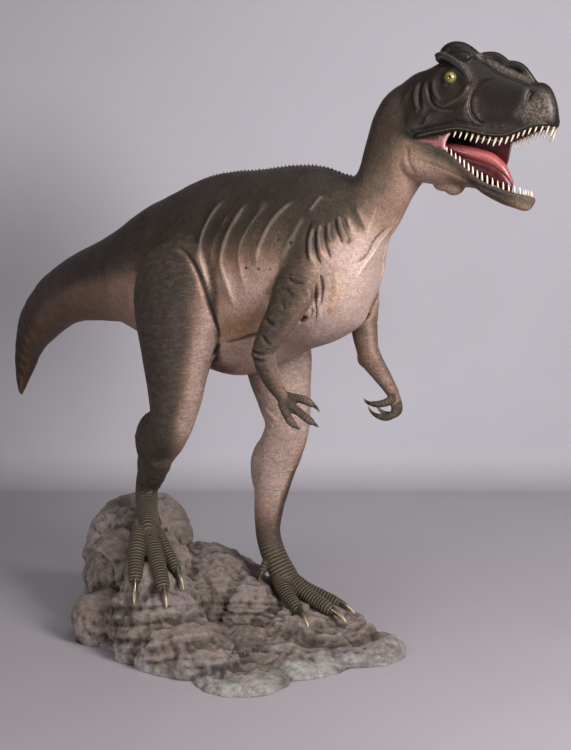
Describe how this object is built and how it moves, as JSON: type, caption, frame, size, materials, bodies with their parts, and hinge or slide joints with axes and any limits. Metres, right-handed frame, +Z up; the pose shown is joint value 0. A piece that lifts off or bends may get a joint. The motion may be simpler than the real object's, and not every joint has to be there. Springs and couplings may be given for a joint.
{
  "type": "painted dinosaur statue on a rock base",
  "caption": "Painted statue of a two-legged meat-eating dinosaur, mid stride with its jaws open, fixed on a moulded rock base for display.",
  "frame": {"origin": "on the flat underside of the rock base, below the animal's belly", "axes": "+X the way the animal faces, +Y to its left, +Z up"},
  "size_m": [3.225, 1.0742, 2.371],
  "materials": {
    "painted_hide": "airbrushed satin paint, dark olive brown over pinkish tan",
    "claw": "gloss varnish, ivory tips",
    "eye": "high gloss, yellow iris",
    "tongue": "semi gloss",
    "painted_rock": "matt paint over moulded rock"
  },
  "bodies": {
    "root": {"head": "painted_hide", "lower_jaw": "painted_hide", "neck": "painted_hide", "torso": "painted_hide", "tail_base": "painted_hide", "tail_middle": "painted_hide", "tail_tip": "painted_hide", "thigh_right": "painted_hide", "thigh_left": "painted_hide", "shin_right": "painted_hide", "shin_left": "painted_hide", "foot_right": "painted_hide", "foot_left": "painted_hide", "upper_arm_right": "painted_hide", "upper_arm_left": "painted_hide", "forearm_right": "painted_hide", "forearm_left": "painted_hide", "hand_right": "painted_hide", "hand_left": "painted_hide", "toe_claw_right_inner": "claw", "toe_claw_right_middle": "claw", "toe_claw_right_outer": "claw", "toe_claw_right_hind": "claw", "finger_claw_right_first": "claw", "finger_claw_right_second": "claw", "finger_claw_right_third": "claw", "toe_claw_left_inner": "claw", "toe_claw_left_middle": "claw", "toe_claw_left_outer": "claw", "toe_claw_left_hind": "claw", "finger_claw_left_first": "claw", "finger_claw_left_second": "claw", "finger_claw_left_third": "claw", "eye_right": "eye", "eye_left": "eye", "tongue": "tongue", "rock_base": "painted_rock"}
  },
  "joints": []
}
